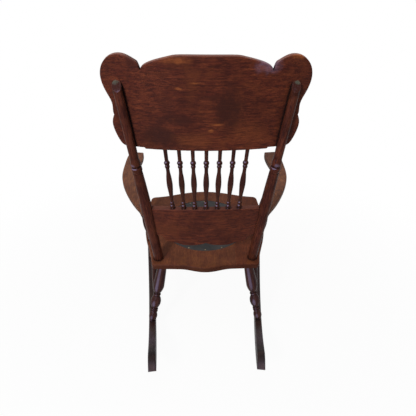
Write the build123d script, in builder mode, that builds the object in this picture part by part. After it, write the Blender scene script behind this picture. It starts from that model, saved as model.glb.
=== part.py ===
"""Spindle-back rocking chair with arms: turned and sawn oak pieces, glued and screwed together.

Frame: +X to the sitter's left, +Y to the rear, +Z up. The origin is on the floor, under the
middle of the runners' length, on the plane of symmetry. Millimetres.

Back pieces are drawn in the back plane (x across, s up the slope of the back, n to the front),
seat pieces on the top of the seat, and arms on the top of the arms.
"""

from build123d import *
import math
import os

# ---------------------------------------------------------------- driving sizes
# Fits
glue_gap = 0.1            # round a glued tenon, dowel, housing or inset
end_gap = 1.0             # left past the end of a blind tenon, for glue
scribe_run = 6.0          # spare length of a turning before its shoulder is scribed
tenon_root = 8.0          # length of a tenon inside its own turning

# Seat
seat_rear_y = 126.0       # rear corners of the seat, behind the runners' middle
seat_rear_height = 344.7  # top of the seat at its rear corners
seat_tilt = 6.2           # degrees, front up
seat_thickness = 22.0
seat_rear_half = 198.0    # half-width at the rear corners
seat_front_half = 247.0   # half-width at the front corners, before they are rounded
seat_side_length = 457.0  # rear corner to front corner, along the seat
# Points on the left half of the front edge: (x, ahead of the front corners)
seat_front_edge = ((0.0, 49.0), (97.0, 35.0), (150.0, 19.0), (184.0, 9.5), (215.0, 4.0))
seat_rear_bow = 20.0      # middle of the rear edge, behind the rear corners
seat_rear_bow_half = 100.0
seat_rear_bow_lip = 3.0   # the bulge's ends, behind the rear corners
# Points on the left side: (outside the rear half-width, ahead of the rear corners)
seat_side = ((12.0, 61.0), (25.5, 109.0), (36.5, 146.0), (46.5, 192.0), (54.0, 290.0))
seat_seam_x = 115.0       # glue line between a side board and the cross rails
seat_top_round = 6.0
seat_bottom_round = 3.0
seat_rear_corner = 14.0
seat_front_corner = 21.0

# Inset panel, its recess and its tacks
panel_radius = 175.0
panel_thickness = 4.0
panel_setback = 250.0     # centre, ahead of the rear corners
panel_sink = 0.5          # top of the panel below the top of the seat
ledge_width = 20.0
tack_count = 16
tack_edge = 7.0           # tack centres in from the panel's edge
tack_head_radius = 3.2
tack_head_height = 1.4
tack_shank_radius = 0.8
tack_length = 9.0

# Dowels between the seat pieces
seat_dowel_radius = 4.0
seat_dowel_length = 40.0
rear_dowel_setbacks = (35.0, 82.0)
front_dowel_setbacks = (402.0, 448.0)

# Back posts
post_setback = 37.0       # foot, ahead of the rear corners
post_foot_x = 175.5
back_recline = 10.4       # degrees from upright
post_splay = 5.15         # degrees, each post outward
post_over_crest = 188.0   # low side of the slanted top, above the crest panel's bottom edge
post_top_slant = 45.0     # degrees
post_foot_radius = 17.0
post_belly_radius = 18.5
post_waist_radius = 15.2  # under the cup
post_line_radius = 14.2   # fine groove between the waist and the cup
post_cup_radius = 16.4
post_groove_radius = 11.0
post_ball_radius = 15.4
post_neck_radius = 13.2
post_top_radius = 12.0
post_tenon_radius = 11.0
post_tenon_length = 17.0
post_belly_height = 230.0
post_waist_drop = 80.0    # top of the waist, below the crest panel
post_line_length = 3.0
post_cup_length = 13.0
post_rim_length = 5.5
post_groove_length = 3.5
post_ball_lengths = (9.0, 15.0)  # below and above its widest place

# Crest panel: a bowed board. Half of its outline, across from the middle and up from its bottom
crest_low = 464.0         # bottom edge, up the back from the seat
crest_thickness = 17.0
crest_face = -13.0        # rear face in the middle, from the posts' axes
crest_bottom = ((177.0, 0.0), (181.0, 4.5), (226.0, 4.5))
crest_lobe = ((253.0, 25.0), (264.5, 65.0), (256.5, 100.0))
crest_ear = ((257.0, 127.0), (267.5, 160.0), (277.5, 203.0), (264.0, 240.0), (207.0, 259.5),
             (181.0, 247.0), (170.0, 226.0))
crest_arch = ((150.0, 242.5), (103.0, 257.0), (0.0, 263.0))
board_round = 2.5         # long edges of the crest panel and the lower rail
back_bow_radius = 1150.0  # rear faces of the crest panel and the lower rail

# Lower back rail
rail_middle_top = 248.0   # up the back from the seat
rail_end_top = 242.0
rail_end_low = 126.0
# Half of its bottom edge, across from the middle and up from the seat
rail_cusp = ((0.0, 95.5), (16.0, 89.5), (35.0, 85.0))
rail_belly = ((58.0, 83.5), (78.0, 84.5))
rail_rise = ((104.0, 93.5), (143.0, 104.5))
rail_shoulder = 10.0      # level stretch beside each post
rail_thickness = 20.0
rail_face = -20.0
rail_housing = 6.0        # let into each post

# Back spindles
spindle_count = 7
spindle_foot_pitch = 36.5
spindle_head_pitch = 40.5
spindle_tenon_radius = 4.5
spindle_tenon_length = 15.0
spindle_foot_radius = 6.0
# Turning, from the foot up: (length, radius at its end, bulge)
spindle_turning = ((2.0, 5.2, 0.0), (14.0, 5.0, 3.0), (11.0, 5.0, 2.2), (14.0, 5.2, 0.0),
                   (52.0, 9.4, 0.2), (44.0, 5.9, 0.8), (16.0, 5.6, 0.0), (12.0, 5.6, 2.0),
                   (13.0, 5.6, 3.4))

# Arms
arm_rear_height = 578.7   # top of the arms above the seat's rear corners
arm_tilt = 5.7            # degrees, front up
arm_thickness = 21.0
arm_round = 5.0
arm_spindle_tenon_radius = 5.0
arm_spindle_tenon_length = 12.0
arm_spindle_foot_radius = 6.5
arm_spindle_turning = ((2.0, 5.4, 0.0), (12.0, 5.2, 2.6), (9.0, 5.2, 1.8), (10.0, 5.2, 0.0),
                       (42.0, 8.8, 0.2), (42.0, 5.8, 0.8), (12.0, 5.5, 0.0), (10.0, 5.5, 1.8),
                       (11.0, 5.5, 2.8))
arm_post_tenon_radius = 8.0
arm_post_tenon_length = 14.0
arm_post_end_radius = 10.5
arm_post_turning = ((12.0, 9.5, 2.5), (3.0, 9.2, 0.0), (45.0, 15.0, 1.0), (60.0, 9.5, 1.5),
                    (4.0, 9.2, 0.0), (22.0, 9.2, 4.0), (4.0, 9.2, 0.0))
# Left arm's outline: (x, ahead of the rear corners)
arm_front = ((267.0, 441.0), (306.0, 446.0))
arm_front_corner = ((321.0, 441.0), (327.0, 424.0))
arm_outer_side = ((329.5, 345.0), (321.0, 226.0), (281.5, 107.0), (226.0, 6.0))
arm_rear = (215.0, -6.0)  # the last point outside the post, the second behind its axis
arm_inner_side = ((181.0, 12.0), (206.0, 60.0), (252.0, 165.0), (270.0, 295.0), (262.0, 375.0))

# Feet on the seat (x, ahead of the rear corners) and heads under the arms, in the same terms
arm_spindle_feet = ((220.0, 145.0), (230.0, 193.0), (235.0, 241.0))
arm_spindle_heads = ((244.0, 96.0), (262.0, 168.0), (276.0, 235.0))
arm_post_foot = (236.0, 289.0)
arm_post_head = (286.0, 302.0)

# Legs: heads under the seat and feet on the runners (x, ahead of the rear corners)
rear_leg_head = (160.0, 68.0)
front_leg_head = (203.0, 372.0)
rear_leg_foot_setback = 12.0
front_leg_foot_setback = 398.0
leg_tenon_radius = 10.0
leg_tenon_length = 16.0
leg_foot_tenon_radius = 8.0
leg_foot_radius = 11.0
leg_foot_height = 3.0
leg_ball_height = 37.0
leg_groove_height = 2.5
leg_ring_height = 6.5
leg_ring_radius = 13.4
leg_ring_bulge = 1.5
leg_barrel_height = 56.0
leg_vase_height = 32.0    # from the upper ring to the widest place
leg_groove_radius = 11.0
leg_ball_bulge = 5.6
leg_barrel_bulge = 9.4
leg_vase_radius = 22.0
leg_head_radius = 13.5

# Stretchers
stretcher_end_radius = 8.0
stretcher_belly_radius = 12.5
stretcher_tenon_length = 13.0
front_stretcher_turning = ((130.0, 12.5, 1.0), (3.0, 8.0, 0.0), (12.0, 8.0, 4.0))
front_stretcher_middle_bulge = 6.0

# Runners
runner_length = 788.0     # along Y, tip to tip
runner_radius = 815.0     # underside
runner_height = 47.0
runner_width = 27.0
runner_middle_x = 216.5   # centre line beside the seat's rear corners
runner_toe = 7.3         # degrees, fronts apart
runner_nose = 75.0        # length of the sloped nose at each end
runner_tip_height = 7.0
runner_top_round = 5.0
balance_y = -5.0          # middle of the flat that the chair rests on
flat_length = 100.0

# Screws
screw_head_radius = 4.5
screw_shank_radius = 2.2
screw_head_height = 2.6
screw_point = 5.0
screw_slot = 1.2
crest_screw_length = 31.0
crest_screw_heights = (60.0, 150.0)  # up from the crest panel's bottom edge
arm_screw_length = 26.0
arm_screw_head_reach = 30.0  # from the post's axis to the top of the screw's head

# ---------------------------------------------------------------- datum planes
post_length = crest_low + post_over_crest
post_waist_height = crest_low - post_waist_drop

tilt = math.radians(seat_tilt)
seat_top = Plane(origin=(0, seat_rear_y, seat_rear_height), x_dir=(1, 0, 0),
                 z_dir=(0, math.sin(tilt), math.cos(tilt)))
seat_underside = seat_top.offset(-seat_thickness)

arm_slope = math.radians(arm_tilt)
arm_top = Plane(origin=(0, seat_rear_y, arm_rear_height), x_dir=(1, 0, 0),
                z_dir=(0, math.sin(arm_slope), math.cos(arm_slope)))
arm_underside = arm_top.offset(-arm_thickness)

recline = math.radians(back_recline)
back = Plane(origin=seat_top.from_local_coords(Vector(0, -post_setback, 0)), x_dir=(1, 0, 0),
             z_dir=(0, -math.cos(recline), math.sin(recline)))

toe = math.radians(runner_toe)
runner_bed_radius = runner_radius - runner_height  # the runners' top edge
runner_centre_height = math.sqrt(runner_radius**2 - (flat_length / 2) ** 2)


def post_x(height):
    """Distance of a post's axis from the middle, at a height up the back."""
    return post_foot_x + height * math.tan(math.radians(post_splay))


def bowed_face(x, face):
    """How far forward a bowed rear face lies at x, when it lies at `face` in the middle."""
    return face + back_bow_radius - math.sqrt(back_bow_radius**2 - x**2)


def runner_x(y):
    """Distance of a runner's centre line from the middle."""
    return runner_middle_x + (seat_rear_y - y) * math.tan(toe)


def runner_arc(radius, run):
    """Height of a runner's edge, `run` along the runner from the middle of its flat."""
    return runner_centre_height - math.sqrt(radius**2 - run**2)


def runner_top_point(setback):
    """Point on the left runner's top edge, over its centre line."""
    y = seat_rear_y - setback
    run = (y - balance_y) / math.cos(toe)
    return Vector(runner_x(y), y, runner_arc(runner_bed_radius, run))


def on_plane(plane, spot):
    """Point on a tilted plane from (x, distance ahead of the rear corners)."""
    return plane.from_local_coords(Vector(spot[0], -spot[1], 0))


def along(start, end, length):
    """Point `length` along the line from start to end."""
    return start + (end - start).normalized() * length


# ---------------------------------------------------------------- shared shapes
def turning(start, end, sections, foot_tenon, head_tenon, foot_plane=None, head_plane=None):
    """A turned piece from start to end.

    sections: (length, radius where the section ends, bulge) from the foot up. A length of None
    shares what the others leave. The first entry has length 0 and gives the radius at the foot.
    Tenons are (radius, length). The planes scribe the shoulders: the foot's plane looks
    into the piece and the head's looks out of it.
    """
    axis = (end - start).normalized()
    across = Vector(1, 0, 0) if abs(axis.X) < 0.9 else Vector(0, 1, 0)
    radial = across.cross(axis).normalized()
    lathe = Plane(origin=start, x_dir=radial, z_dir=radial.cross(axis))
    lengths = [length for length, _, _ in sections]
    spare = (end - start).length - sum(length for length in lengths if length is not None)
    share = spare / max(1, lengths.count(None))
    foot_run = scribe_run if foot_plane else 0
    head_run = scribe_run if head_plane else 0
    with BuildPart() as piece:
        with BuildSketch(lathe):
            with BuildLine():
                radius = sections[0][1]
                height = -foot_run
                Line((0, height), (radius, height))
                if foot_run:
                    Line((radius, height), (radius, 0))
                height = 0
                for length, end_radius, bulge in sections[1:]:
                    rise = share if length is None else length
                    here = (radius, height)
                    there = (end_radius, height + rise)
                    if bulge:
                        middle = ((radius + end_radius) / 2 + bulge, height + rise / 2)
                        ThreePointArc(here, middle, there)
                    else:
                        Line(here, there)
                    radius = end_radius
                    height += rise
                if head_run:
                    Line((radius, height), (radius, height + head_run))
                Polyline((radius, height + head_run), (0, height + head_run), (0, -foot_run))
            make_face()
        revolve(axis=Axis(start, axis))
        if foot_plane:
            split(bisect_by=foot_plane, keep=Keep.TOP)
        if head_plane:
            split(bisect_by=head_plane, keep=Keep.BOTTOM)
        for point, way, tenon in ((start, -axis, foot_tenon), (end, axis, head_tenon)):
            if tenon:
                tenon_radius, tenon_length = tenon
                with BuildSketch(Plane(origin=point - way * tenon_root, z_dir=way)) as tenon_end:
                    Circle(tenon_radius)
                extrude(tenon_end.sketch, amount=tenon_root + tenon_length)
    return piece.part


def bore(point, way, radius, depth, lead=12.0):
    """Cut a round hole into the piece being built, from a point on its surface."""
    with BuildSketch(Plane(origin=point - way * lead, z_dir=way)) as mouth:
        Circle(radius)
    extrude(mouth.sketch, amount=lead + depth, mode=Mode.SUBTRACT)


def tenon_bore(point, way, tenon, lead=12.0):
    """Blind hole for a glued tenon of (radius, length)."""
    tenon_radius, tenon_length = tenon
    bore(point, way, tenon_radius + glue_gap, tenon_length + end_gap, lead)


def screw_solid(head, way, length, gap=0.0):
    """Countersunk wood screw, its head's top at `head`; with a gap, the hole for it."""
    side = Vector(0, 0, 1).cross(way).normalized()
    with BuildPart() as screw:
        with BuildSketch(Plane(origin=head, x_dir=side, z_dir=side.cross(way))):
            with BuildLine():
                Polyline((0, 0), (screw_head_radius + gap, 0),
                         (screw_shank_radius + gap, screw_head_height),
                         (screw_shank_radius + gap, length - screw_point),
                         (0, length + gap), (0, 0))
            make_face()
        revolve(axis=Axis(head, way))
        if not gap:
            with BuildSketch(Plane(origin=head, x_dir=side, z_dir=way)) as slot:
                Rectangle(3 * screw_head_radius, screw_slot)
            extrude(slot.sketch, amount=screw_slot, mode=Mode.SUBTRACT)
    return screw.part


def bowed_board(outline, face, thickness):
    """A board bowed in plan: its outline as seen from behind, its rear face at `face`."""
    bounds = outline.bounding_box()
    reach = 150.0
    with BuildPart() as board:
        with BuildSketch(back.offset(-reach)):
            add(outline)
        extrude(amount=2 * reach)
        section_plane = Plane(origin=back.from_local_coords(Vector(0, bounds.min.Y - 10, 0)),
                              x_dir=(1, 0, 0), z_dir=back.y_dir)
        with BuildSketch(section_plane) as section:
            with Locations((0, -face - back_bow_radius)):
                Circle(back_bow_radius)
                Circle(back_bow_radius - thickness, mode=Mode.SUBTRACT)
        extrude(section.sketch, amount=bounds.size.Y + 20, mode=Mode.INTERSECT)
    return board.part


# ---------------------------------------------------------------- outlines
def crest_outline():
    """Scalloped crest panel as seen from behind: flat bottom, lobes, round ears, centre arch."""
    bottom = [(x, crest_low + rise) for x, rise in crest_bottom]
    lobe = [(x, crest_low + rise) for x, rise in crest_lobe]
    ear = [(x, crest_low + rise) for x, rise in crest_ear]
    arch = [(x, crest_low + rise) for x, rise in crest_arch]
    with BuildSketch() as outline:
        with BuildLine():
            Polyline((0, crest_low), *bottom)
            Spline(bottom[-1], *lobe, tangents=((1, 0), (-0.5, 1)))
            Spline(lobe[-1], *ear, tangents=((0.5, 1), (-0.25, -1)))
            Spline(ear[-1], *arch, tangents=((-0.5, 1), (-1, 0)))
            mirror(about=Plane.YZ)
        make_face()
    return outline.sketch


def rail_end(height):
    """Where the lower rail stops inside a post, at a height up the back."""
    return post_x(height) - post_belly_radius + rail_housing


def rail_outline():
    """Lower back rail as seen from behind: arched top, shaped bottom edge, housed ends."""
    low_end = rail_end(rail_end_low)
    high_end = rail_end(rail_end_top)
    shoulder = (low_end - rail_shoulder, rail_end_low)
    with BuildSketch() as outline:
        with BuildLine():
            ThreePointArc(*rail_cusp)
            ThreePointArc(rail_cusp[-1], *rail_belly)
            Spline(rail_belly[-1], *rail_rise, shoulder, tangents=((1, 0.1), (1, 0)))
            Polyline(shoulder, (low_end, rail_end_low), (high_end, rail_end_top))
            mirror(about=Plane.YZ)
            ThreePointArc((high_end, rail_end_top), (0, rail_middle_top), (-high_end, rail_end_top))
        make_face()
    return outline.sketch


def seat_outline():
    """Seat on its top plane: bulged rear edge, flared sides, bowed front, round corners."""
    front_corner = (seat_front_half, -seat_side_length)
    side = [(seat_rear_half + flare, -ahead) for flare, ahead in seat_side]
    front = [(x, -seat_side_length - ahead) for x, ahead in seat_front_edge]
    with BuildSketch() as outline:
        with BuildLine():
            bulge = Spline((0, seat_rear_bow), (seat_rear_bow_half, seat_rear_bow_lip),
                           tangents=((1, 0), (1, -0.02)))
            Line(bulge @ 1, (seat_rear_half, 0))
            Spline((seat_rear_half, 0), *side, front_corner, tangents=((0.2, -1), (-0.08, -1)))
            Spline(*front, front_corner, tangents=((1, 0), (1, 0.08)))
            mirror(about=Plane.YZ)
        make_face()
        for ends, corner_radius in ((slice(-2, None), seat_rear_corner),
                                    (slice(0, 2), seat_front_corner)):
            corners = outline.vertices().filter_by(lambda spot: abs(spot.X) > seat_rear_half - 1)
            fillet(corners.sort_by(Axis.Y)[ends], corner_radius)
    return outline.sketch


def arm_outline():
    """Left arm on its top plane: a paddle, broad at the front, whose rear end laps the post."""
    front = [(x, -ahead) for x, ahead in arm_front]
    corner = [(x, -ahead) for x, ahead in arm_front_corner]
    outer = [(x, -ahead) for x, ahead in arm_outer_side]
    inner = [(x, -ahead) for x, ahead in arm_inner_side]
    end_y = arm_post_y - arm_rear[1]
    with BuildSketch() as outline:
        with BuildLine():
            Line(*front)
            ThreePointArc(front[-1], *corner)
            Spline(corner[-1], *outer, tangents=((0.15, 1), (-0.7, 1)))
            Polyline(outer[-1], (arm_rear[0], end_y), (arm_post_x, end_y), inner[0])
            Spline(*inner, tangents=((0.4, -1), (-0.05, -1)))
            Spline(inner[-1], front[0], tangents=((-0.05, -1), (0.25, -1)))
        make_face()
    return outline.sketch


# ---------------------------------------------------------------- where things meet
post_foot = on_plane(seat_top, (post_foot_x, post_setback))
post_way = (back.x_dir * math.sin(math.radians(post_splay))
            + back.y_dir * math.cos(math.radians(post_splay)))
post_tenon = (post_tenon_radius, post_tenon_length)

arm_middle = arm_top.offset(-arm_thickness / 2)
post_rise = -arm_middle.to_local_coords(post_foot).Z / post_way.dot(arm_middle.z_dir)
post_at_arm = post_foot + post_way * post_rise
arm_post_x = arm_middle.to_local_coords(post_at_arm).X
arm_post_y = arm_middle.to_local_coords(post_at_arm).Y
arm_screw_way = -(arm_top.x_dir - arm_top.y_dir * 0.3).normalized()
arm_screw_head = post_at_arm - arm_screw_way * arm_screw_head_reach

leg_tenon = (leg_tenon_radius, leg_tenon_length)
leg_foot_tenon = (leg_foot_tenon_radius, leg_tenon_length)
leg_barrel_start = (leg_foot_height + leg_ball_height + 3 * leg_groove_height
                    + 2 * leg_ring_height)
leg_barrel_middle = leg_barrel_start + leg_barrel_height / 2
leg_barrel_radius = leg_groove_radius + leg_barrel_bulge
leg_widest = (leg_barrel_start + leg_barrel_height + 2 * leg_groove_height + leg_ring_height
              + leg_vase_height)
legs = {
    "rear": (runner_top_point(rear_leg_foot_setback), on_plane(seat_underside, rear_leg_head)),
    "front": (runner_top_point(front_leg_foot_setback), on_plane(seat_underside, front_leg_head)),
}
stretcher_tenon = (stretcher_end_radius, stretcher_tenon_length)
side_stretcher_line = [along(foot, head, leg_barrel_middle) for foot, head in legs.values()]
front_stretcher_point = along(*legs["front"], leg_widest)

arm_spindle_tenon = (arm_spindle_tenon_radius, arm_spindle_tenon_length)
arm_post_tenon = (arm_post_tenon_radius, arm_post_tenon_length)
arm_spindles = [(on_plane(seat_top, foot), on_plane(arm_underside, head))
                for foot, head in zip(arm_spindle_feet, arm_spindle_heads)]
arm_post = (on_plane(seat_top, arm_post_foot), on_plane(arm_underside, arm_post_head))

spindle_tenon = (spindle_tenon_radius, spindle_tenon_length)
rail_arch_radius = ((rail_end(rail_end_top) ** 2 + (rail_middle_top - rail_end_top) ** 2)
                    / (2 * (rail_middle_top - rail_end_top)))
back_spindles = []
for number in range(spindle_count):
    place = number - (spindle_count - 1) / 2
    foot_x = place * spindle_foot_pitch
    head_x = place * spindle_head_pitch
    foot_height = rail_middle_top - rail_arch_radius + math.sqrt(rail_arch_radius**2 - foot_x**2)
    foot = Vector(foot_x, foot_height, bowed_face(foot_x, rail_face) + rail_thickness / 2)
    head = Vector(head_x, crest_low, bowed_face(head_x, crest_face) + crest_thickness / 2)
    back_spindles.append((back.from_local_coords(foot), back.from_local_coords(head)))

crest_screws = []
for rise in crest_screw_heights:
    height = crest_low + rise
    bow_centre = Vector(0, height, crest_face + back_bow_radius)
    axis_point = Vector(post_x(height), height, 0)
    radial = (axis_point - bow_centre).normalized()
    head = back.from_local_coords(bow_centre + radial * (back_bow_radius - crest_thickness))
    way = back.x_dir * radial.X + back.z_dir * radial.Z
    crest_screws.append((head, way))


# ---------------------------------------------------------------- back
def make_post():
    """Left post: turned, flat where the crest panel bears, housed for the lower rail."""
    sections = [
        (0, post_foot_radius, 0),
        (post_belly_height, post_belly_radius, 0),
        (post_waist_height - post_belly_height, post_waist_radius, 0.8),
        (0, post_line_radius, 0),
        (post_line_length, post_line_radius, 0),
        (post_cup_length, post_cup_radius, 0.8),
        (post_rim_length, post_groove_radius, 2.0),
        (post_groove_length, post_groove_radius, 0),
        (post_ball_lengths[0], post_ball_radius, 2.0),
        (post_ball_lengths[1], post_neck_radius, 0.4),
        (None, post_top_radius, 0.5),
    ]
    slant = math.radians(post_top_slant)
    slant_plane = Plane(origin=post_foot + post_way * post_length, x_dir=(1, 0, 0),
                        z_dir=back.y_dir * math.cos(slant) - back.z_dir * math.sin(slant))
    top = post_foot + post_way * (post_length + 2 * post_top_radius)
    blank = turning(post_foot, top, sections, post_tenon, None, foot_plane=seat_top)
    with BuildSketch() as bearing:
        with Locations((post_x(crest_low), crest_low + crest_bottom[-1][1])):
            Rectangle(8 * post_belly_radius, post_length, align=(Align.CENTER, Align.MIN))
    with BuildPart() as post:
        add(blank)
        split(bisect_by=slant_plane, keep=Keep.BOTTOM)
        add(bowed_board(bearing.sketch, crest_face, 3 * crest_thickness), mode=Mode.SUBTRACT)
        add(rail_housing_cut(), mode=Mode.SUBTRACT)
        for head, way in crest_screws:
            add(screw_solid(head, way, crest_screw_length, glue_gap), mode=Mode.SUBTRACT)
        add(screw_solid(arm_screw_head, arm_screw_way, arm_screw_length, glue_gap),
            mode=Mode.SUBTRACT)
    return post.part


def rail_housing_cut():
    """What the end of the lower rail takes out of the left post and arm."""
    low_end = rail_end(rail_end_low) + end_gap
    high_end = rail_end(rail_end_top) + end_gap
    with BuildSketch() as housing:
        with BuildLine():
            Polyline((0, rail_end_low - glue_gap), (low_end, rail_end_low - glue_gap),
                     (high_end, rail_end_top + end_gap), (0, rail_end_top + end_gap),
                     (0, rail_end_low - glue_gap))
        make_face()
    return bowed_board(housing.sketch, rail_face - glue_gap, rail_thickness + 2 * glue_gap)


def make_crest():
    with BuildPart() as crest:
        add(bowed_board(crest_outline(), crest_face, crest_thickness))
        fillet(crest.faces().sort_by(SortBy.AREA)[-2:].edges(), board_round)
        for foot, head in back_spindles:
            tenon_bore(head, (head - foot).normalized(), spindle_tenon)
        for head, way in crest_screws:
            screw = screw_solid(head, way, crest_screw_length, glue_gap)
            add(screw, mode=Mode.SUBTRACT)
            add(screw.mirror(Plane.YZ), mode=Mode.SUBTRACT)
    return crest.part


def make_rail():
    with BuildPart() as rail:
        add(bowed_board(rail_outline(), rail_face, rail_thickness))
        long_edges = rail.faces().sort_by(SortBy.AREA)[-2:].edges()
        housed = rail_end(rail_end_low) - 1
        fillet(long_edges.filter_by(lambda edge: abs(edge.center().X) < housed), board_round)
        for foot, head in back_spindles:
            tenon_bore(foot, (foot - head).normalized(), spindle_tenon)
    return rail.part


def rail_top_plane(point):
    """Plane square to the rail's arched top at a point on it, looking up."""
    depth = back.to_local_coords(point).Z
    arch_centre = back.from_local_coords(Vector(0, rail_middle_top - rail_arch_radius, depth))
    return Plane(origin=point, z_dir=(point - arch_centre).normalized())


def make_back_spindle(foot, head):
    sections = [(0, spindle_foot_radius, 0), *spindle_turning, (None, spindle_foot_radius, 0)]
    return turning(foot, head, sections, spindle_tenon, spindle_tenon,
                   foot_plane=rail_top_plane(foot),
                   head_plane=Plane(origin=head, z_dir=back.y_dir))


# ---------------------------------------------------------------- seat
def make_seat_blank():
    """The whole seat as glued up, bored and recessed, before it is split at its glue lines."""
    with BuildPart() as seat:
        with BuildSketch(seat_underside):
            add(seat_outline())
        extrude(amount=seat_thickness)
        fillet(seat.faces().sort_by(Axis((0, 0, 0), seat_top.z_dir))[-1].edges(), seat_top_round)
        fillet(seat.faces().sort_by(Axis((0, 0, 0), seat_top.z_dir))[0].edges(), seat_bottom_round)
        with BuildSketch(seat_top.offset(-panel_sink - panel_thickness)):
            with Locations((0, -panel_setback)):
                Circle(panel_radius + glue_gap)
        extrude(amount=seat_thickness, mode=Mode.SUBTRACT)
        with BuildSketch(seat_underside.offset(-1)):
            with Locations((0, -panel_setback)):
                Circle(panel_radius - ledge_width)
        extrude(amount=2 * seat_thickness, mode=Mode.SUBTRACT)
        with Locations(seat_top.offset(-panel_sink - panel_thickness)):
            with Locations((0, -panel_setback)):
                with PolarLocations(panel_radius - tack_edge, tack_count):
                    Hole(tack_shank_radius + glue_gap / 2, tack_length)
        tenon_bore(post_foot, -post_way, post_tenon)
        for foot, head in legs.values():
            tenon_bore(head, (head - foot).normalized(), leg_tenon)
        for foot, head in arm_spindles:
            tenon_bore(foot, (foot - head).normalized(), arm_spindle_tenon)
        foot, head = arm_post
        tenon_bore(foot, (foot - head).normalized(), arm_post_tenon)
        split(bisect_by=Plane.YZ, keep=Keep.TOP)
        mirror(about=Plane.YZ)
        for start in dowel_starts():
            bore(start, seat_top.x_dir, seat_dowel_radius + glue_gap,
                 seat_dowel_length + end_gap, lead=end_gap)
    return seat.part


def dowel_starts():
    """The -X end of each dowel between the seat's pieces."""
    starts = []
    for seam in (-seat_seam_x, seat_seam_x):
        for setback in rear_dowel_setbacks + front_dowel_setbacks:
            spot = Vector(seam - seat_dowel_length / 2, -setback, -seat_thickness / 2)
            starts.append(seat_top.from_local_coords(spot))
    return starts


def seat_piece(blank, low_x, high_x, low_y, high_y):
    """The piece of the seat blank between two x and two y values on the seat's plane."""
    with BuildPart() as board:
        add(blank)
        with BuildSketch(seat_underside.offset(-1)) as region:
            with Locations(((low_x + high_x) / 2, (low_y + high_y) / 2)):
                Rectangle(high_x - low_x, high_y - low_y)
        extrude(region.sketch, amount=seat_thickness + 2, mode=Mode.INTERSECT)
    return board.part


def make_seat_panel():
    with BuildPart() as panel:
        with BuildSketch(seat_top.offset(-panel_sink - panel_thickness)):
            with Locations((0, -panel_setback)):
                Circle(panel_radius)
        extrude(amount=panel_thickness)
        fillet(panel.edges().group_by(Axis((0, 0, 0), seat_top.z_dir))[-1], 1.0)
        with Locations(seat_top.offset(-panel_sink)):
            with Locations((0, -panel_setback)):
                with PolarLocations(panel_radius - tack_edge, tack_count):
                    Hole(tack_shank_radius + glue_gap / 2, panel_thickness)
    return panel.part


def make_tacks():
    with BuildPart() as tack:
        with BuildSketch(Plane.XZ):
            with BuildLine():
                Polyline((0, tack_head_height), (0, -tack_length), (tack_shank_radius, 3 - tack_length),
                         (tack_shank_radius, 0), (tack_head_radius, 0))
                TangentArc((0, tack_head_height), (tack_head_radius, 0), tangent=(1, 0))
            make_face()
        revolve(axis=Axis.Z)
    with BuildPart() as tacks:
        with Locations(seat_top.offset(-panel_sink)):
            with Locations((0, -panel_setback)):
                with PolarLocations(panel_radius - tack_edge, tack_count):
                    add(tack.part)
    return tacks.part


def make_seat_dowels():
    with BuildPart() as dowels:
        for start in dowel_starts():
            with BuildSketch(Plane(origin=start, z_dir=seat_top.x_dir)):
                Circle(seat_dowel_radius)
            extrude(amount=seat_dowel_length)
    return dowels.part


# ---------------------------------------------------------------- arms
def make_arm():
    with BuildPart() as arm:
        with BuildSketch(arm_underside):
            add(arm_outline())
        extrude(amount=arm_thickness)
        fillet(arm.faces().filter_by(arm_top).edges(), arm_round)
        bore(post_at_arm - post_way * arm_thickness, post_way, post_belly_radius + glue_gap,
             2 * arm_thickness)
        add(rail_housing_cut(), mode=Mode.SUBTRACT)
        for foot, head in arm_spindles:
            tenon_bore(head, (head - foot).normalized(), arm_spindle_tenon)
        foot, head = arm_post
        tenon_bore(head, (head - foot).normalized(), arm_post_tenon)
        bore(arm_screw_head, -arm_screw_way, screw_head_radius + glue_gap, arm_thickness, lead=0)
        add(screw_solid(arm_screw_head, arm_screw_way, arm_screw_length, glue_gap),
            mode=Mode.SUBTRACT)
    return arm.part


def make_arm_spindle(foot, head):
    sections = [(0, arm_spindle_foot_radius, 0), *arm_spindle_turning,
                (None, arm_spindle_foot_radius, 0)]
    return turning(foot, head, sections, arm_spindle_tenon, arm_spindle_tenon,
                   foot_plane=seat_top, head_plane=arm_underside)


def make_arm_post():
    sections = [(0, arm_post_end_radius, 0), *arm_post_turning, (None, arm_post_end_radius, 1)]
    return turning(*arm_post, sections, arm_post_tenon, arm_post_tenon,
                   foot_plane=seat_top, head_plane=arm_underside)


# ---------------------------------------------------------------- legs, stretchers, runners
def leg_seat(point):
    """Plane on which a leg's foot stands: square to the runner, its rim on the hollow edge."""
    run = (point.Y - balance_y) / math.cos(toe)
    lean = run / runner_bed_radius
    upright = Vector(lean * math.sin(toe), -lean * math.cos(toe), math.sqrt(1 - lean**2))
    rim_rise = leg_foot_radius**2 / (2 * runner_bed_radius)
    return Plane(origin=point + upright * rim_rise, z_dir=upright)


def make_leg(foot, head, stretcher_points):
    groove = (leg_groove_height, leg_groove_radius, 0)
    ring = [
        (0, leg_ring_radius, 0),
        (leg_ring_height, leg_ring_radius, leg_ring_bulge),
        (0, leg_groove_radius, 0),
    ]
    sections = [
        (0, leg_foot_radius, 0),
        (leg_foot_height, leg_foot_radius, 0),
        (leg_ball_height, leg_groove_radius, leg_ball_bulge),
        groove, *ring, groove, *ring, groove,
        (leg_barrel_height, leg_groove_radius, leg_barrel_bulge),
        groove, *ring, groove,
        (leg_vase_height, leg_vase_radius, 2.0),
        (None, leg_head_radius, 1),
    ]
    blank = turning(foot, head, sections, leg_foot_tenon, leg_tenon,
                    foot_plane=leg_seat(foot), head_plane=seat_underside)
    with BuildPart() as leg:
        add(blank)
        for point, way, radius in stretcher_points:
            tenon_bore(point + way * radius, -way, stretcher_tenon)
    return leg.part


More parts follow.
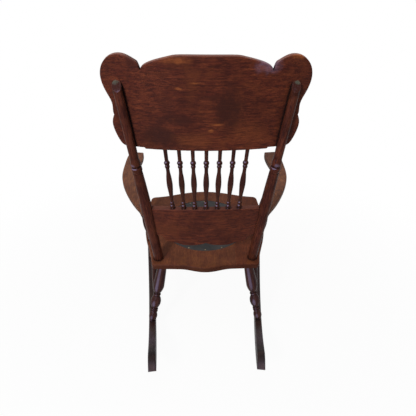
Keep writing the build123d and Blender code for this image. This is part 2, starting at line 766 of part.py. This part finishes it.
def make_side_stretcher():
    rear, front = side_stretcher_line
    way = (front - rear).normalized()
    swell = (stretcher_belly_radius - stretcher_end_radius) / 4  # runs level at the middle
    sections = [
        (0, stretcher_end_radius, 0),
        (None, stretcher_belly_radius, swell),
        (None, stretcher_end_radius, swell),
    ]
    return turning(rear + way * leg_barrel_radius, front - way * leg_barrel_radius, sections,
                   stretcher_tenon, stretcher_tenon)


def make_front_stretcher():
    start = Vector(-front_stretcher_point.X + leg_vase_radius, front_stretcher_point.Y,
                   front_stretcher_point.Z)
    end = Vector(front_stretcher_point.X - leg_vase_radius, front_stretcher_point.Y,
                 front_stretcher_point.Z)
    near_half = [(0, stretcher_end_radius, 0), *front_stretcher_turning]
    far_half = []
    for index in range(len(near_half) - 1, 0, -1):
        length, _, bulge = near_half[index]
        far_half.append((length, near_half[index - 1][1], bulge))
    middle = (None, near_half[-1][1], front_stretcher_middle_bulge)
    sections = [*near_half, middle, *far_half]
    return turning(start, end, sections, stretcher_tenon, stretcher_tenon)


def make_runner():
    """Left runner: a board on edge, curved under a short flat, its ends sloped and rounded."""
    rear_run = (runner_length / 2 - balance_y) / math.cos(toe)
    front_run = (-runner_length / 2 - balance_y) / math.cos(toe)
    board_plane = Plane(origin=(runner_x(balance_y), balance_y, 0),
                        x_dir=(-math.sin(toe), math.cos(toe), 0),
                        z_dir=(math.cos(toe), math.sin(toe), 0))
    with BuildPart() as runner:
        with BuildSketch(board_plane.offset(-runner_width / 2)):
            with BuildLine():
                Line((-flat_length / 2, 0), (flat_length / 2, 0))
                for end_run in (rear_run, front_run):
                    outward = math.copysign(1, end_run)
                    flat_end = outward * flat_length / 2
                    low = end_run - outward * runner_tip_height
                    middle = (low + flat_end) / 2
                    shoulder = end_run - outward * runner_nose
                    shoulder_height = runner_arc(runner_bed_radius, shoulder)
                    tip = (end_run, runner_arc(runner_radius, end_run) + runner_tip_height)
                    ThreePointArc((flat_end, 0), (middle, runner_arc(runner_radius, middle)),
                                  (low, runner_arc(runner_radius, low)))
                    Line((low, runner_arc(runner_radius, low)), tip)
                    slope = (outward * (runner_centre_height - shoulder_height), abs(shoulder))
                    TangentArc((shoulder, shoulder_height), tip, tangent=slope)
                rear_shoulder = rear_run - runner_nose
                front_shoulder = front_run + runner_nose
                ThreePointArc((rear_shoulder, runner_arc(runner_bed_radius, rear_shoulder)),
                              (0, runner_arc(runner_bed_radius, 0)),
                              (front_shoulder, runner_arc(runner_bed_radius, front_shoulder)))
            make_face()
        extrude(amount=runner_width)
        hub = board_plane.origin + Vector(0, 0, runner_centre_height)
        across = board_plane.z_dir
        top_faces = []
        for face in runner.faces():
            spoke = face.center() - hub
            spoke -= across * spoke.dot(across)
            if abs(face.normal_at().dot(across)) < 0.5 and spoke.length < runner_radius - 15:
                top_faces.append(face)
        fillet(ShapeList(top_faces).edges().filter_by(
            lambda edge: edge.length > 2 * runner_width), runner_top_round)
        for foot, head in legs.values():
            tenon_bore(foot, (foot - head).normalized(), leg_foot_tenon)
    return runner.part


# ---------------------------------------------------------------- assemble and write
def write(name, part):
    part.label = name
    export_step(part, f"parts/{name}.step")


def write_pair(name, part):
    """A left piece and its mirror image on the right."""
    write(f"left_{name}", part)
    write(f"right_{name}", part.mirror(Plane.YZ))


os.makedirs("parts", exist_ok=True)

write_pair("back_post", make_post())
write("crest_panel", make_crest())
write("lower_back_rail", make_rail())
for number, (foot, head) in enumerate(back_spindles, start=1):
    write(f"back_spindle_{number}", make_back_spindle(foot, head))

seat_blank = make_seat_blank()
seat_reach = 2 * seat_side_length  # beyond the seat's edges every way
write("left_seat_board", seat_piece(seat_blank, seat_seam_x, seat_reach, -seat_reach, seat_reach))
write("right_seat_board", seat_piece(seat_blank, -seat_reach, -seat_seam_x, -seat_reach, seat_reach))
write("rear_seat_rail", seat_piece(seat_blank, -seat_seam_x, seat_seam_x, -panel_setback, seat_reach))
write("front_seat_rail", seat_piece(seat_blank, -seat_seam_x, seat_seam_x, -seat_reach, -panel_setback))
write("seat_panel", make_seat_panel())
write("panel_tacks", make_tacks())
write("seat_dowels", make_seat_dowels())

write_pair("arm", make_arm())
for number, (foot, head) in enumerate(arm_spindles, start=1):
    write_pair(f"arm_spindle_{number}", make_arm_spindle(foot, head))
write_pair("arm_front_post", make_arm_post())

rear_point, front_point = side_stretcher_line
side_way = (front_point - rear_point).normalized()
write_pair("rear_leg", make_leg(*legs["rear"], [(rear_point, side_way, leg_barrel_radius)]))
write_pair("front_leg", make_leg(*legs["front"], [
    (front_point, -side_way, leg_barrel_radius),
    (front_stretcher_point, Vector(-1, 0, 0), leg_vase_radius),
]))
write_pair("side_stretcher", make_side_stretcher())
write("front_stretcher", make_front_stretcher())
write_pair("runner", make_runner())

with BuildPart() as crest_screw_set:
    for head, way in crest_screws:
        screw = screw_solid(head, way, crest_screw_length)
        add(screw)
        add(screw.mirror(Plane.YZ))
write("crest_screws", crest_screw_set.part)

with BuildPart() as arm_screw_set:
    arm_screw = screw_solid(arm_screw_head, arm_screw_way, arm_screw_length)
    add(arm_screw)
    add(arm_screw.mirror(Plane.YZ))
write("arm_screws", arm_screw_set.part)
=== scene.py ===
"""The dressed rocking chair: stained oak, a pressed fibre seat panel, tacks and screws."""

import math

import bpy
from mathutils import Matrix, Vector


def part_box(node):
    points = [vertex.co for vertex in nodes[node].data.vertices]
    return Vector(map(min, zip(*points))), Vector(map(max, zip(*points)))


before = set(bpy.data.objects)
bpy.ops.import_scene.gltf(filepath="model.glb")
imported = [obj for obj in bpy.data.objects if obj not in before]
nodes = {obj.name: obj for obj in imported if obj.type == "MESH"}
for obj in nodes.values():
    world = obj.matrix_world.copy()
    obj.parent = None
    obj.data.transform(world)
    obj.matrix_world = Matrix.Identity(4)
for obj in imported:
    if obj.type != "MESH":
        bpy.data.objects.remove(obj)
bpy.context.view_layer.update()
scene = bpy.context.scene
scene.view_settings.view_transform = "Standard"


# ---------------------------------------------------------------- shader maths
class Value:
    """A number that changes over a surface. Arithmetic on it adds Math nodes."""

    def __init__(self, material, socket):
        self.material = material
        self.socket = socket

    def _math(self, operation, *numbers, clamp=False):
        settings = {"operation": operation, "use_clamp": clamp}
        return self.material.node("Math", settings, dict(enumerate(numbers)))["Value"]

    def __add__(self, other):
        return self._math("ADD", self, other)

    def __sub__(self, other):
        return self._math("SUBTRACT", self, other)

    def __mul__(self, other):
        return self._math("MULTIPLY", self, other)

    def __rsub__(self, other):
        return self._math("SUBTRACT", other, self)

    __radd__ = __add__

    def clamp(self):
        """Kept between 0 and 1."""
        return self._math("ADD", self, 0.0, clamp=True)

    def ramp(self, low, high):
        """0 below low, 1 above high, smooth between. With low above high it falls instead."""
        return self.material.node(
            "MapRange", {"interpolation_type": "SMOOTHSTEP"},
            {"Value": self, "From Min": low, "From Max": high})["Result"]


class Finish:
    """The nodes of one procedural material, or of the world."""

    def __init__(self, name, kind=bpy.data.materials):
        self.data = kind.new(name)
        self.data.use_nodes = True
        self.tree = self.data.node_tree
        self.tree.nodes.clear()

    def node(self, kind, settings=None, inputs=None):
        """Add a node of a type, set its settings, then the values or links of its sockets."""
        made = self.tree.nodes.new("ShaderNode" + kind)
        for key, setting in (settings or {}).items():
            setattr(made, key, setting)
        for key, given in (inputs or {}).items():
            socket = made.inputs[key]
            if isinstance(given, Value):
                self.tree.links.new(given.socket, socket)
            elif isinstance(given, (tuple, list)) and len(given) == 3 and socket.type == "RGBA":
                socket.default_value = (*given, 1.0)
            else:
                socket.default_value = given
        return {output.name: Value(self, output) for output in made.outputs if output.enabled}

    def place(self):
        """Where a spot lies on the piece."""
        return self.node("TexCoord")["Object"]

    def seen(self):
        """1 for a ray of the camera, a mirror or a clear piece, 0 for one that gathers light."""
        path = self.node("LightPath")
        mirrored = path["Is Glossy Ray"] + path["Is Transmission Ray"]
        return (path["Is Camera Ray"] + mirrored).clamp()

    def mix(self, factor, low, high):
        """Colour between low and high."""
        return self.node("Mix", {"data_type": "RGBA"}, {0: factor, 6: low, 7: high})["Result"]

    def vector(self, operation, *parts, output="Vector"):
        return self.node("VectorMath", {"operation": operation}, dict(enumerate(parts)))[output]

    def noise(self, where, scale, detail=2.0, roughness=0.5, distortion=0.0):
        return self.node("TexNoise", {}, {"Vector": where, "Scale": scale, "Detail": detail,
                                          "Roughness": roughness, "Distortion": distortion})["Fac"]

    def surface(self, bump=None, **inputs):
        """The finished material. bump is (height, strength, depth in metres)."""
        named = {key.replace("_", " "): given for key, given in inputs.items()}
        if bump:
            height, strength, distance = bump
            named["Normal"] = self.node("Bump", {}, {"Height": height, "Strength": strength,
                                                     "Distance": distance})["Normal"]
        shader = self.node("BsdfPrincipled", {}, named)["BSDF"]
        self.node("OutputMaterial", {}, {"Surface": shader})
        return self.data


def put(material, *names):
    """Give CAD nodes this material."""
    for name in names:
        slots = nodes[name].data.materials
        slots.clear()
        slots.append(material)


# ---------------------------------------------------------------- colours, linear
# stain of each kind of piece
crest_stain = (0.061, 0.0125, 0.0065)
post_stain = (0.049, 0.0115, 0.0075)
spindle_stain = (0.034, 0.0098, 0.0072)
arm_stain = (0.094, 0.0300, 0.0150)
seat_stain = (0.088, 0.0240, 0.0110)
board_stains = {"left": seat_stain, "right": (0.080, 0.0185, 0.0080)}
leg_stain = (0.036, 0.0125, 0.0115)
runner_stain = (0.025, 0.0135, 0.0135)

# wear, dirt and polish, and painted highlights and painted shade
# orange of rubbed wear, also used for a painted highlight streak on the posts
wear_and_highlight_orange = (0.24, 0.070, 0.020)
warm_stain = (0.120, 0.034, 0.010)
# dark stain, also used as painted shade on the seat's rear faces and as a painted shadow on the
# runners
dark_stain_and_shade = (0.026, 0.0068, 0.0038)
# near-black of old dirt, also used for painted shade in joints, grooves and on the runners
dirt_and_shade_dark = (0.0035, 0.0022, 0.0020)
# grey of the painted highlight on the slanted post tops
top_highlight_grey = (0.050, 0.048, 0.036)
# milky lavender of the painted highlights, on faces that look one way and on single spots
painted_highlight_colour = (0.170, 0.135, 0.215)
polish_tint = (0.72, 0.78, 1.0)

# painted highlights on the shoulders of the turnings and along the legs' sides, and painted shade
# on the seat's rear faces, each as (way the faces look, how near they have to, strength, colour)
# painted highlight on the upper shoulders of beads, balls and cups, and a painted highlight streak
# along the sides of the legs
shoulder_bloom = ((0.35, 0.74, 0.57), 0.84, 0.75, painted_highlight_colour)
side_bloom = ((0.30, 0.93, 0.15), 0.92, 0.50, painted_highlight_colour)
# painted shade: the faces of the seat pieces that look to the rear are painted darker
rear_face_shade = ((0.0, 1.0, 0.0), 0.10, 0.80, dark_stain_and_shade)

# reach in metres of rubbed edges, and of the darkening in the joints and in the turned grooves,
# partly dirt and partly painted shade
rubbed_reach = 0.003
joint_shade_reach = 0.035
groove_shade_reach = 0.007


# ---------------------------------------------------------------- oak
def oak(name, start, along, colour, wear=0.5, figure=1.0, gloss=0.45, level=0.08, fade=0.4,
        bloom=None, marks=()):
    """Stained oak whose grain runs along a direction from a point on the piece.

    colour is the stain's middle tone, wear how pale the edges are rubbed, figure how strong the
    grain is, gloss the roughness of the polish, level how strongly it mirrors, and fade how much
    the faces that look up are painted paler, as painted light from above. bloom, a painted
    highlight or painted shade on the faces that look one way, is (way the faces look, how near
    they have to, strength, colour). marks are (point, radii, colour, strength) of single spots:
    stains, wear, painted highlights and painted shade.
    """
    finish = Finish(name)
    along = Vector(along).normalized()
    across = Vector((0, 0, 1)) if abs(along.z) < 0.7 else Vector((1, 0, 0))
    across = (across - along * across.dot(along)).normalized()
    through = along.cross(across)
    place = finish.place()
    offset = finish.vector("SUBTRACT", place, tuple(start))
    run = finish.vector("DOT_PRODUCT", offset, tuple(along), output="Value")
    side = finish.vector("DOT_PRODUCT", offset, tuple(across), output="Value")
    deep = finish.vector("DOT_PRODUCT", offset, tuple(through), output="Value")

    def stretched(factor):
        """The piece's own place with its length shrunk, which draws noise out along the grain."""
        return finish.node("CombineXYZ", {}, {"X": run * factor, "Y": side, "Z": deep})["Vector"]

    # growth rings as soft bands, pores as short dark dashes, stain lying unevenly
    wander = finish.noise(stretched(0.22), 9.0, 3.0, 0.55)
    drift = wander * 0.05
    wavy = finish.node("CombineXYZ", {}, {"X": run * 0.03, "Y": side + drift, "Z": deep + drift})
    rings = finish.noise(wavy["Vector"], 95.0, 3.0, 0.6).ramp(0.34, 0.68)
    pores = finish.noise(stretched(0.05), 620.0, 2.0, 0.6).ramp(0.52, 0.70)
    fibre = finish.noise(stretched(0.09), 270.0, 4.0, 0.8, 0.5)
    streaks = finish.noise(stretched(0.13), 190.0, 4.0, 0.75, 0.6)
    stain = finish.noise(place, 9.0, 4.0, 0.6).ramp(0.36, 0.70)
    blotch = finish.noise(place, 34.0, 3.0, 0.6).ramp(0.40, 0.75)
    warmth = finish.noise(place, 13.0, 4.0, 0.65).ramp(0.50, 0.72)

    red, green, blue = colour
    dark = (red * 0.36, green * 0.40, blue * 0.45)
    light = (red * 2.10, green * 2.50, blue * 1.80)
    warm = (red * 1.55, green * 2.0, blue * 1.25)
    top_lit_colour = (red * 0.75 + 0.085, green * 0.75 + 0.045, blue * 0.75 + 0.032)
    bare = (red * 1.6 + 0.10, green * 1.6 + 0.045, blue * 1.6 + 0.02)
    body = finish.mix(rings * 0.55 * figure, colour, light)
    body = finish.mix(fibre.ramp(0.56, 0.42) * 0.85 * figure, body, dark)
    body = finish.mix(streaks.ramp(0.55, 0.66) * 0.85 * figure, body, light)
    body = finish.mix(stain * 0.6, body, dark)
    body = finish.mix(warmth * 0.45, body, warm)
    body = finish.mix(blotch * 0.22, body, light)
    body = finish.mix(pores * 0.7 * figure, body, dark)

    # faces that look up are painted paler, a painted light from above
    true = finish.node("NewGeometry")["Normal"]
    up = finish.vector("DOT_PRODUCT", true, (0.0, 0.0, 1.0), output="Value").ramp(0.45, 0.95)
    body = finish.mix(up * fade, body, top_lit_colour)

    # painted highlight or painted shade on the faces that look one way
    if bloom:
        way, start_at, strength, tint = bloom
        way = tuple(Vector(way).normalized())
        painted_facing = finish.vector("DOT_PRODUCT", true, way, output="Value").ramp(start_at, 1.0)
        body = finish.mix(painted_facing * (0.75 + stain * 0.25) * strength, body, tint)

    for point, radii, tint, strength in marks:
        away = finish.vector("SUBTRACT", place, tuple(point))
        reach = finish.vector("DIVIDE", away, tuple(radii))
        ragged = (finish.vector("LENGTH", reach, output="Value") + (blotch - 0.5) * 0.6
                  + (stain - 0.5) * 0.5)
        spot = ragged.ramp(1.35, 0.15) * (0.40 + fibre.ramp(0.38, 0.58) * 0.60)
        body = finish.mix(spot * strength, body, tint)

    # edges rubbed paler; hollows, joints and grooves darkened, partly with old dirt and partly as
    # painted shade
    rounded = finish.node("Bevel", {"samples": 4}, {"Radius": rubbed_reach})["Normal"]
    edge = 1.0 - finish.vector("DOT_PRODUCT", rounded, true, output="Value")
    patchy = finish.noise(place, 60.0, 4.0, 0.7).ramp(0.40, 0.62)
    rubbed = edge.ramp(0.03, 0.22) * patchy * wear
    body = finish.mix(rubbed, body, bare)
    joints = finish.node("AmbientOcclusion", {"samples": 6}, {"Distance": joint_shade_reach})["AO"]
    grooves = finish.node("AmbientOcclusion", {"samples": 6}, {"Distance": groove_shade_reach})["AO"]
    # painted shade together with dirt, where the hollows and joints are occluded
    dirt_and_shade = (joints.ramp(0.86, 0.30) + grooves.ramp(0.80, 0.35)).clamp()
    body = finish.mix(dirt_and_shade * 0.95, body, dirt_and_shade_dark)

    relief = fibre * 0.5 - pores * 0.8
    roughness = gloss + stain * 0.10 + rubbed * 0.15 + dirt_and_shade * 0.4
    return finish.surface(bump=(relief, 0.3, 0.0006), Base_Color=body, Roughness=roughness.clamp(),
                          Specular_IOR_Level=level, Specular_Tint=polish_tint)


def centre(name):
    low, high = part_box(name)
    return (low + high) / 2


def by_height(name, pick):
    points = (vertex.co for vertex in nodes[name].data.vertices)
    return pick(points, key=lambda point: point.z).copy()


def lowest(name):
    return by_height(name, min)


def highest(name):
    return by_height(name, max)


def axis(name):
    """Long direction of a turned piece, from its lower end to its upper one."""
    return highest(name) - lowest(name)


def dress(name, along, stain, material=None, **look):
    """Give a piece an oak of its own, its grain along a direction."""
    put(oak(material or name + "_oak", centre(name), along, stain, **look), name)


across_chair = (1, 0, 0)
front_to_back = (0, 1, 0)

for side_name in ("left", "right"):
    post = f"{side_name}_back_post"
    post_low, post_way = lowest(post), axis(post).normalized()
    outward = math.copysign(1.0, post_low.x)
    # each post's spots: its slanted top darkened, a grey painted highlight on that top, a painted
    # highlight on the ball under the crest, and a painted highlight streak in the colour of wear
    post_marks = (
        (highest(post) - post_way * 0.010, (0.040, 0.050, 0.021), dark_stain_and_shade, 2.0),
        (highest(post) - post_way * 0.004 + Vector((0.004 * outward, 0.0, 0.0)),
         (0.009, 0.014, 0.006), top_highlight_grey, 2.0),
        (post_low + post_way * 0.430 + Vector((0.004, 0.0150, 0.0)), (0.006, 0.010, 0.005),
         painted_highlight_colour, 0.6),
        (post_low + post_way * 0.305 + Vector((0.010 * outward, 0.016, 0.0)),
         (0.004, 0.010, 0.030), wear_and_highlight_orange, 0.35),
    )
    dress(post, axis(post), post_stain, gloss=0.40, level=0.05, fade=0.0, bloom=shoulder_bloom,
          marks=post_marks)
    for piece, stain, gloss, level, bloom in (
            ("rear_leg", leg_stain, 0.34, 0.06, side_bloom),
            ("front_leg", leg_stain, 0.34, 0.06, None),
            ("arm_front_post", spindle_stain, 0.38, 0.05, shoulder_bloom),
            ("arm_spindle_1", spindle_stain, 0.38, 0.05, shoulder_bloom),
            ("arm_spindle_2", spindle_stain, 0.38, 0.05, shoulder_bloom),
            ("arm_spindle_3", spindle_stain, 0.38, 0.05, shoulder_bloom),
            ("side_stretcher", leg_stain, 0.36, 0.06, None)):
        name = f"{side_name}_{piece}"
        dress(name, axis(name), stain, gloss=gloss, level=level, figure=0.8, fade=0.0, bloom=bloom)
    dress(f"{side_name}_arm", front_to_back, arm_stain, wear=0.8, level=0.06, fade=0.2)
    runner = f"{side_name}_runner"
    runner_x = centre(runner).x
    # painted light and shade on each runner's top: a painted shadow beside the leg, a painted
    # sheen, painted shade where the nose falls away, and a painted highlight at the tip
    runner_light_and_shade_marks = (
        ((runner_x, 0.110, 0.030), (0.08, 0.050, 0.06), dark_stain_and_shade, 0.9),
        ((runner_x, 0.255, 0.065), (0.08, 0.055, 0.06), painted_highlight_colour, 0.13),
        ((runner_x, 0.332, 0.095), (0.08, 0.046, 0.07), dirt_and_shade_dark, 0.95),
        ((runner_x, 0.395, 0.115), (0.08, 0.020, 0.06), painted_highlight_colour, 0.12),
    )
    dress(runner, front_to_back, runner_stain, level=0.12, fade=0.1, marks=runner_light_and_shade_marks)
    dress(f"{side_name}_seat_board", front_to_back, board_stains[side_name], figure=0.6,
          level=0.06, fade=0.1, bloom=rear_face_shade)
for number in range(1, 8):
    name = f"back_spindle_{number}"
    dress(name, axis(name), spindle_stain, gloss=0.38, level=0.05, figure=0.8, fade=0.0,
          bloom=shoulder_bloom)

crest_low, crest_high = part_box("crest_panel")


def crest_spot(x, height, radii, tint, strength):
    """A mark on the crest's rear face, at a height above its lower edge."""
    share = height / (crest_high.z - crest_low.z)
    y = crest_low.y + (crest_high.y - crest_low.y) * share
    return (x, y, crest_low.z + height), radii, tint, strength


crest_marks = (
    crest_spot(-0.062, 0.130, (0.038, 0.2, 0.054), dark_stain_and_shade, 1.25),
    crest_spot(0.130, 0.042, (0.048, 0.2, 0.034), dark_stain_and_shade, 1.25),
    crest_spot(0.000, 0.155, (0.030, 0.2, 0.006), dark_stain_and_shade, 0.60),
    crest_spot(0.080, 0.094, (0.050, 0.2, 0.018), dark_stain_and_shade, 0.90),
    crest_spot(0.110, 0.135, (0.018, 0.2, 0.030), dark_stain_and_shade, 0.40),
    crest_spot(0.040, 0.034, (0.050, 0.2, 0.022), warm_stain, 0.45),
    crest_spot(-0.120, 0.060, (0.040, 0.2, 0.030), warm_stain, 0.35),
    crest_spot(0.078, 0.248, (0.036, 0.2, 0.010), wear_and_highlight_orange, 0.55),
    crest_spot(-0.232, 0.258, (0.018, 0.2, 0.006), wear_and_highlight_orange, 0.70),
    crest_spot(0.188, 0.250, (0.016, 0.2, 0.022), dark_stain_and_shade, 0.70),
    # painted sheen at the right notch, a lavender painted highlight
    crest_spot(-0.155, 0.244, (0.026, 0.2, 0.022), painted_highlight_colour, 0.32),
    crest_spot(-0.011, 0.063, (0.007, 0.2, 0.004), wear_and_highlight_orange, 0.75),
    crest_spot(-0.028, 0.081, (0.016, 0.2, 0.0025), wear_and_highlight_orange, 0.60),
    crest_spot(0.074, 0.179, (0.008, 0.2, 0.0035), wear_and_highlight_orange, 0.60),
    crest_spot(0.034, 0.193, (0.014, 0.2, 0.0025), wear_and_highlight_orange, 0.60),
)
dress("crest_panel", across_chair, crest_stain, material="crest_oak", gloss=0.5, fade=0.7,
      marks=crest_marks)
dress("lower_back_rail", across_chair, crest_stain, material="rail_oak", gloss=0.48, level=0.09,
      fade=0.2)
for name in ("rear_seat_rail", "front_seat_rail"):
    dress(name, front_to_back, seat_stain, figure=0.6, level=0.06, fade=0.1, bloom=rear_face_shade)
dress("front_stretcher", across_chair, leg_stain, material="stretcher_oak", gloss=0.32, fade=0.0)


# ---------------------------------------------------------------- panel, tacks, screws, dowels
def pressed_fibre():
    finish = Finish("pressed_fibre")
    place = finish.place()
    cloudy = finish.noise(place, 14.0, 4.0, 0.6)
    fine = finish.noise(place, 900.0, 2.0, 0.6)
    scuffs = finish.noise(place, 45.0, 5.0, 0.7).ramp(0.55, 0.75)
    body = finish.mix(cloudy.ramp(0.3, 0.7), (0.016, 0.0155, 0.0155), (0.034, 0.031, 0.030))
    body = finish.mix(scuffs * 0.5, body, (0.055, 0.046, 0.041))
    return finish.surface(bump=(fine + cloudy, 0.3, 0.0006), Base_Color=body,
                          Roughness=0.55 + scuffs * 0.15, Specular_IOR_Level=0.12)


def old_metal(name, colour, dark, rough):
    finish = Finish(name)
    place = finish.place()
    tarnish = finish.noise(place, 400.0, 3.0, 0.6).ramp(0.35, 0.7)
    body = finish.mix(tarnish, colour, dark)
    return finish.surface(Base_Color=body, Metallic=1.0 - tarnish * 0.4,
                          Roughness=rough + tarnish * 0.25)


def plain_birch():
    finish = Finish("plain_birch")
    place = finish.place()
    grain = finish.noise(finish.vector("MULTIPLY", place, (40.0, 900.0, 900.0)), 1.0, 3.0, 0.6)
    body = finish.mix(grain, (0.36, 0.23, 0.12), (0.52, 0.36, 0.21))
    return finish.surface(Base_Color=body, Roughness=0.7)


put(pressed_fibre(), "seat_panel")
put(old_metal("tack_brass", (0.20, 0.15, 0.09), (0.05, 0.035, 0.02), 0.45), "panel_tacks")
put(old_metal("screw_steel", (0.22, 0.20, 0.18), (0.06, 0.045, 0.035), 0.45),
    "crest_screws", "arm_screws")
put(plain_birch(), "seat_dowels")


# ---------------------------------------------------------------- room, light and camera
floor_size = 30.0
floor_grey = (0.5, 0.5, 0.5)
white = (1.0, 1.0, 1.0)
world_light = 0.18      # strength of the world as a light; to the eye it is 1


def room():
    """A white floor that keeps the chair's shadow. Far from the chair it is pure white."""
    bpy.ops.mesh.primitive_plane_add(size=floor_size, location=(0, 0, 0))
    floor = bpy.context.object
    floor.name = "floor"
    finish = Finish("white_floor")
    away = finish.vector("LENGTH", finish.place(), output="Value")
    glowing = finish.seen() * (0.95 + away.ramp(0.5, 1.8) * 0.05)
    lit = finish.node("BsdfDiffuse", {}, {"Color": floor_grey})["BSDF"]
    glow = finish.node("Emission", {}, {"Color": white, "Strength": 1.0})["Emission"]
    both = finish.node("MixShader", {}, {0: glowing, 1: lit, 2: glow})["Shader"]
    finish.node("OutputMaterial", {}, {"Surface": both})
    floor.data.materials.append(finish.data)


def sky():
    """White to the eye and in reflections, dimmer as a light on the chair."""
    finish = Finish("studio", bpy.data.worlds)
    strength = world_light + finish.seen() * (1.0 - world_light)
    light = finish.node("Background", {}, {"Color": white, "Strength": strength})["Background"]
    finish.node("OutputWorld", {}, {"Surface": light})
    scene.world = finish.data


def lamp(name, place, target, size, power, colour):
    """A square lamp that looks at a target; size in metres, power in watts."""
    data = bpy.data.lights.new(name, "AREA")
    data.shape = "SQUARE"
    data.size = size
    data.energy = power
    data.color = colour
    lamp_object = bpy.data.objects.new(name, data)
    lamp_object.location = place
    way = Vector(target) - Vector(place)
    lamp_object.rotation_euler = way.to_track_quat("-Z", "Y").to_euler()
    scene.collection.objects.link(lamp_object)


camera_place = (0.01994, 1.15275, 1.1449)
camera_turn = (0.026210, 0.501198, -0.0067324)  # yaw, pitch and roll in radians
lens, film_width = 30.166, 36.0                 # millimetres


def camera():
    """The camera behind the chair, looking down on it."""
    yaw, pitch, roll = camera_turn
    forward = Vector((-math.sin(yaw) * math.cos(pitch), -math.cos(yaw) * math.cos(pitch),
                      -math.sin(pitch)))
    level = Vector((-math.cos(yaw), math.sin(yaw), 0.0))
    down = forward.cross(level)
    right = level * math.cos(roll) + down * math.sin(roll)
    down = down * math.cos(roll) - level * math.sin(roll)
    data = bpy.data.cameras.new("camera")
    data.sensor_width = film_width
    data.lens = lens
    camera_object = bpy.data.objects.new("camera", data)
    turn = Matrix((right, -down, -forward)).transposed()
    camera_object.matrix_world = Matrix.Translation(camera_place) @ turn.to_4x4()
    scene.collection.objects.link(camera_object)
    scene.camera = camera_object


room()
sky()
# name, place, target, size, power, colour
lamp("window", (1.3, 2.5, 2.0), (0.0, 0.1, 0.6), 0.5, 88.0, (1.0, 0.98, 0.97))
lamp("ceiling", (0.2, 0.4, 3.2), (0.0, 0.0, 0.5), 2.6, 66.0, (0.93, 0.96, 1.0))
lamp("fill", (-2.4, 1.6, 1.5), (0.0, 0.0, 0.6), 2.0, 8.0, (0.95, 0.97, 1.0))
lamp("reflector", (0.55, 1.45, 0.05), (0.0, 0.15, 0.65), 0.45, 4.0, (0.86, 0.90, 1.0))
camera()
